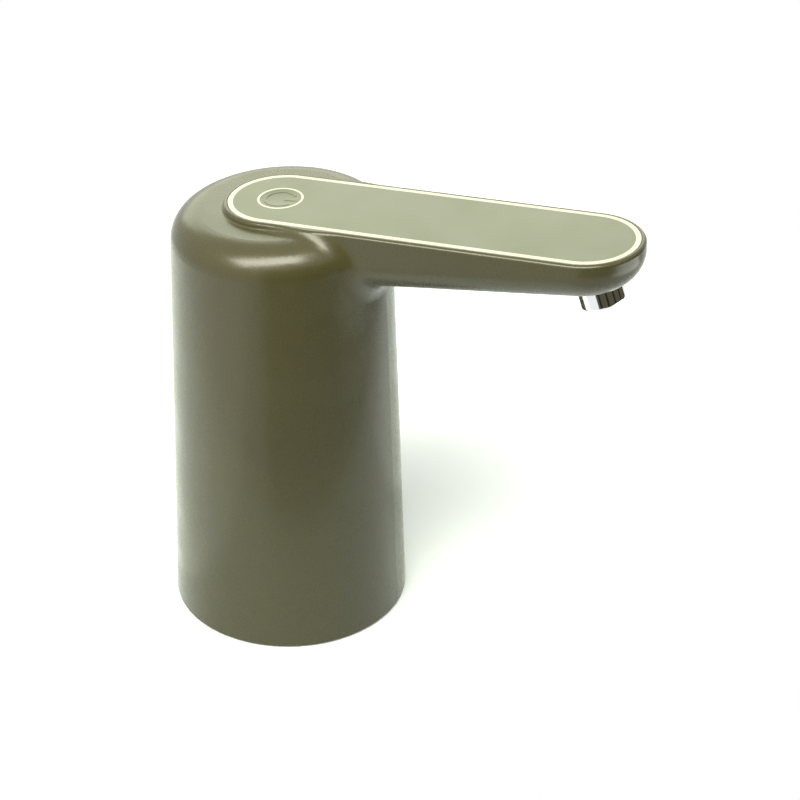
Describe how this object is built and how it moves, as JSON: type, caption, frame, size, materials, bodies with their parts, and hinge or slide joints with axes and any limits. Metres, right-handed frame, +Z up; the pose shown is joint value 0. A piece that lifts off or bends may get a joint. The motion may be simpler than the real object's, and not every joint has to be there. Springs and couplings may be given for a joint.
{
  "type": "electric water pump tap",
  "caption": "Battery water pump tap for a bottle neck: tapered round trunk, flat stadium panel on a side arm with a touch button and light ring, and a tilted chrome nozzle.",
  "frame": {"origin": "on the trunk's axis, in the plane of its bottom rim and of the bottle socket's mouth", "axes": "+X along the arm, from the trunk to the nozzle; +Z up, along the trunk; +Y to the left of the arm, seen from above with the arm pointing away"},
  "size_m": [0.1442, 0.072, 0.1403],
  "materials": {
    "body_plastic": "satin soft-touch",
    "panel_plastic": "satin",
    "trim_plastic": "satin",
    "light_ring": "frosted",
    "nozzle_chrome": "polished",
    "silicone": "soft",
    "black_rubber": "matt",
    "white_plastic": "fine texture",
    "black_plastic": "fine texture",
    "white_nylon": "satin",
    "steel": "bright",
    "nickel": "bright",
    "bronze": "satin",
    "copper": "lacquered",
    "magnet": "matt",
    "cell_wrap": "satin shrink wrap",
    "circuit_board": "solder mask",
    "led_lens": "clear",
    "wire_skin": "satin"
  },
  "bodies": {
    "casing": {"base_cup": "white_plastic", "base_screws": "steel", "battery_cell": "cell_wrap", "battery_leads": "wire_skin", "battery_tabs": "nickel", "board_screws": "steel", "button_ring": "light_ring", "chamber_plate": "black_plastic", "charge_board": "circuit_board", "charge_chips": "black_plastic", "charge_leads": "wire_skin", "control_board": "circuit_board", "control_chips": "black_plastic", "diaphragm": "silicone", "housing": "body_plastic", "inlet_hose": "silicone", "inlet_nipple": "white_plastic", "inlet_seal": "black_rubber", "inner_frame": "white_plastic", "led_chips": "led_lens", "motor_bushes": "bronze", "motor_can": "steel", "motor_end_cap": "black_plastic", "motor_leads": "wire_skin", "motor_magnets": "magnet", "motor_screws": "steel", "motor_terminals": "nickel", "neck_ring": "silicone", "nozzle": "nozzle_chrome", "nozzle_seal": "black_rubber", "outlet_hose": "silicone", "panel_gasket": "black_rubber", "panel_trim": "trim_plastic", "pump_bracket": "white_nylon", "pump_cover": "black_plastic", "pump_screws": "steel", "pump_sleeve": "black_rubber", "spout_elbow": "white_plastic", "switch_body": "black_plastic", "top_panel": "panel_plastic", "usb_socket": "steel", "valve_flaps": "silicone", "valve_plate": "black_plastic"},
    "rotor": {"motor_shaft": "steel", "rotor_core": "steel", "rotor_windings": "copper", "commutator": "copper", "eccentric_wheel": "white_nylon"},
    "wobbler": {"wobble_plate": "white_nylon", "wobble_pin": "steel"},
    "button": {"power_button": "panel_plastic", "switch_plunger": "white_nylon"}
  },
  "joints": [
    {"name": "button_press", "type": "slide", "parent": "casing", "child": "button", "axis": [0.0523, 0, -0.9986], "range_m": [0, 0.0005], "stiffness_N_per_m": 2000},
    {"name": "motor_spin", "type": "hinge", "parent": "casing", "child": "rotor", "pos_m": [0.004, -0.0075, 0.084], "axis": [0, 0, 1], "continuous": true},
    {"name": "wobble_turn", "type": "hinge", "parent": "rotor", "child": "wobbler", "pos_m": [0.004, -0.0075, 0.0552], "axis": [0.0698, 0, 0.9976], "continuous": true}
  ],
  "couplings": [
    {"joint": "wobble_turn", "follows": "motor_spin", "ratio": -1}
  ]
}
